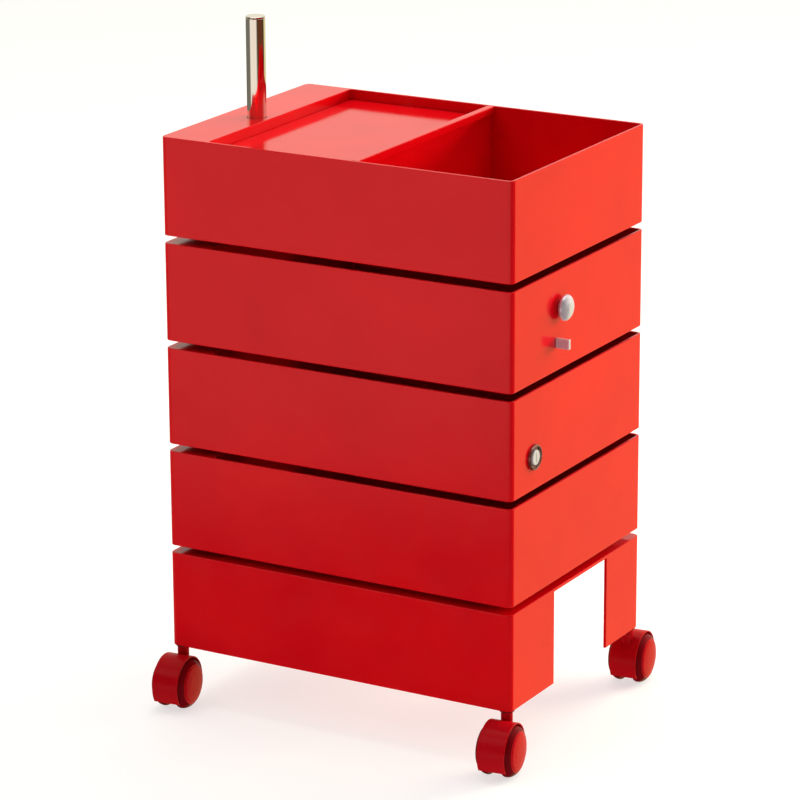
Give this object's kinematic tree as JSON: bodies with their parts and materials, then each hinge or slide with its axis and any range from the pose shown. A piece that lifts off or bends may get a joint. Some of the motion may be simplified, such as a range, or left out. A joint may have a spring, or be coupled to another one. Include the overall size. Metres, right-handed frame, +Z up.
{
  "type": "swivel tray storage trolley",
  "caption": "Tiered red plastic storage trolley: open trays swing out about one steel post, with a lift-out pen tray, a cam lock and hooded twin-wheel castors.",
  "frame": {"origin": "on the floor under the middle of the trolley's overall box", "axes": "+Z up along the post; +X towards the short end with the lock and the knob; -Y towards the long front face"},
  "size_m": [0.4306, 0.3586, 0.711],
  "materials": {
    "shell_red": "high-gloss moulded plastic, deep orange-red",
    "castor_red": "semi-gloss moulded plastic, darker red",
    "nickel_steel": "polished nickel-plated steel, slightly warm",
    "bright_fitting": "polished plated metal",
    "dark_nylon": "satin dark nylon"
  },
  "bodies": {
    "base": {"plinth": "shell_red", "post_tube": "nickel_steel", "post_top_cap": "nickel_steel", "post_foot_plate": "nickel_steel", "post_foot_screw_1": "nickel_steel", "post_foot_screw_2": "nickel_steel", "post_foot_screw_3": "nickel_steel", "post_foot_screw_4": "nickel_steel", "post_spacer_1": "dark_nylon", "post_spacer_2": "dark_nylon", "post_spacer_3": "dark_nylon", "post_spacer_4": "dark_nylon", "castor_front_right_socket": "dark_nylon", "castor_front_left_socket": "dark_nylon", "castor_rear_right_socket": "dark_nylon", "castor_rear_left_socket": "dark_nylon"},
    "tray_1": {"tray_1_shell": "shell_red", "tray_1_upper_bush": "dark_nylon", "tray_1_lower_bush": "dark_nylon"},
    "tray_2": {"tray_2_shell": "shell_red", "tray_2_upper_bush": "dark_nylon", "tray_2_lower_bush": "dark_nylon", "knob": "bright_fitting", "catch_tab": "bright_fitting"},
    "tray_3": {"tray_3_shell": "shell_red", "tray_3_upper_bush": "dark_nylon", "tray_3_lower_bush": "dark_nylon", "lock_body": "bright_fitting", "lock_nut": "bright_fitting"},
    "tray_4": {"tray_4_shell": "shell_red", "tray_4_upper_bush": "dark_nylon", "tray_4_lower_bush": "dark_nylon"},
    "pen_tray": {"pen_tray": "shell_red"},
    "lock_plug": {"lock_plug": "bright_fitting", "lock_cam": "bright_fitting"},
    "castor_front_right": {"castor_front_right_hood": "castor_red", "castor_front_right_stem": "nickel_steel", "castor_front_right_axle": "nickel_steel"},
    "castor_front_right_wheel_right": {"castor_front_right_wheel_right": "castor_red"},
    "castor_front_right_wheel_left": {"castor_front_right_wheel_left": "castor_red"},
    "castor_front_left": {"castor_front_left_hood": "castor_red", "castor_front_left_stem": "nickel_steel", "castor_front_left_axle": "nickel_steel"},
    "castor_front_left_wheel_right": {"castor_front_left_wheel_right": "castor_red"},
    "castor_front_left_wheel_left": {"castor_front_left_wheel_left": "castor_red"},
    "castor_rear_right": {"castor_rear_right_hood": "castor_red", "castor_rear_right_stem": "nickel_steel", "castor_rear_right_axle": "nickel_steel"},
    "castor_rear_right_wheel_right": {"castor_rear_right_wheel_right": "castor_red"},
    "castor_rear_right_wheel_left": {"castor_rear_right_wheel_left": "castor_red"},
    "castor_rear_left": {"castor_rear_left_hood": "castor_red", "castor_rear_left_stem": "nickel_steel", "castor_rear_left_axle": "nickel_steel"},
    "castor_rear_left_wheel_right": {"castor_rear_left_wheel_right": "castor_red"},
    "castor_rear_left_wheel_left": {"castor_rear_left_wheel_left": "castor_red"}
  },
  "joints": [
    {"name": "tray_1_swivel", "type": "hinge", "parent": "base", "child": "tray_1", "pos_m": [-0.162, -0.02, 0.504], "axis": [0, 0, 1], "continuous": true},
    {"name": "tray_2_swivel", "type": "hinge", "parent": "base", "child": "tray_2", "pos_m": [-0.162, -0.02, 0.394], "axis": [0, 0, 1], "continuous": true},
    {"name": "tray_3_swivel", "type": "hinge", "parent": "base", "child": "tray_3", "pos_m": [-0.162, -0.02, 0.284], "axis": [0, 0, 1], "continuous": true},
    {"name": "tray_4_swivel", "type": "hinge", "parent": "base", "child": "tray_4", "pos_m": [-0.162, -0.02, 0.174], "axis": [0, 0, 1], "continuous": true},
    {"name": "pen_tray_lift", "type": "slide", "parent": "tray_1", "child": "pen_tray", "axis": [0, 0, 1], "range_m": [0, 0.04]},
    {"name": "lock_turn", "type": "hinge", "parent": "tray_3", "child": "lock_plug", "pos_m": [0.2, -0.096, 0.318], "axis": [1, 0, 0], "range_deg": [0, 90]},
    {"name": "castor_front_right_swivel", "type": "hinge", "parent": "base", "child": "castor_front_right", "pos_m": [0.1915, -0.134, 0.064], "axis": [0, 0, 1], "continuous": true},
    {"name": "castor_front_right_wheel_right_spin", "type": "hinge", "parent": "castor_front_right", "child": "castor_front_right_wheel_right", "pos_m": [0.19307, -0.14892, 0.0265], "axis": [0.9945, 0.1045, 0], "continuous": true},
    {"name": "castor_front_right_wheel_left_spin", "type": "hinge", "parent": "castor_front_right", "child": "castor_front_right_wheel_left", "pos_m": [0.19307, -0.14892, 0.0265], "axis": [0.9945, 0.1045, 0], "continuous": true},
    {"name": "castor_front_left_swivel", "type": "hinge", "parent": "base", "child": "castor_front_left", "pos_m": [-0.1915, -0.134, 0.064], "axis": [0, 0, 1], "continuous": true},
    {"name": "castor_front_left_wheel_right_spin", "type": "hinge", "parent": "castor_front_left", "child": "castor_front_left_wheel_right", "pos_m": [-0.19019, -0.14894, 0.0265], "axis": [0.9962, 0.0872, 0], "continuous": true},
    {"name": "castor_front_left_wheel_left_spin", "type": "hinge", "parent": "castor_front_left", "child": "castor_front_left_wheel_left", "pos_m": [-0.19019, -0.14894, 0.0265], "axis": [0.9962, 0.0872, 0], "continuous": true},
    {"name": "castor_rear_right_swivel", "type": "hinge", "parent": "base", "child": "castor_rear_right", "pos_m": [0.1915, 0.134, 0.064], "axis": [0, 0, 1], "continuous": true},
    {"name": "castor_rear_right_wheel_right_spin", "type": "hinge", "parent": "castor_rear_right", "child": "castor_rear_right_wheel_right", "pos_m": [0.19019, 0.14894, 0.0265], "axis": [0.9962, 0.0872, 0], "continuous": true},
    {"name": "castor_rear_right_wheel_left_spin", "type": "hinge", "parent": "castor_rear_right", "child": "castor_rear_right_wheel_left", "pos_m": [0.19019, 0.14894, 0.0265], "axis": [0.9962, 0.0872, 0], "continuous": true},
    {"name": "castor_rear_left_swivel", "type": "hinge", "parent": "base", "child": "castor_rear_left", "pos_m": [-0.1915, 0.134, 0.064], "axis": [0, 0, 1], "continuous": true},
    {"name": "castor_rear_left_wheel_right_spin", "type": "hinge", "parent": "castor_rear_left", "child": "castor_rear_left_wheel_right", "pos_m": [-0.19307, 0.14892, 0.0265], "axis": [0.9945, 0.1045, 0], "continuous": true},
    {"name": "castor_rear_left_wheel_left_spin", "type": "hinge", "parent": "castor_rear_left", "child": "castor_rear_left_wheel_left", "pos_m": [-0.19307, 0.14892, 0.0265], "axis": [0.9945, 0.1045, 0], "continuous": true}
  ]
}
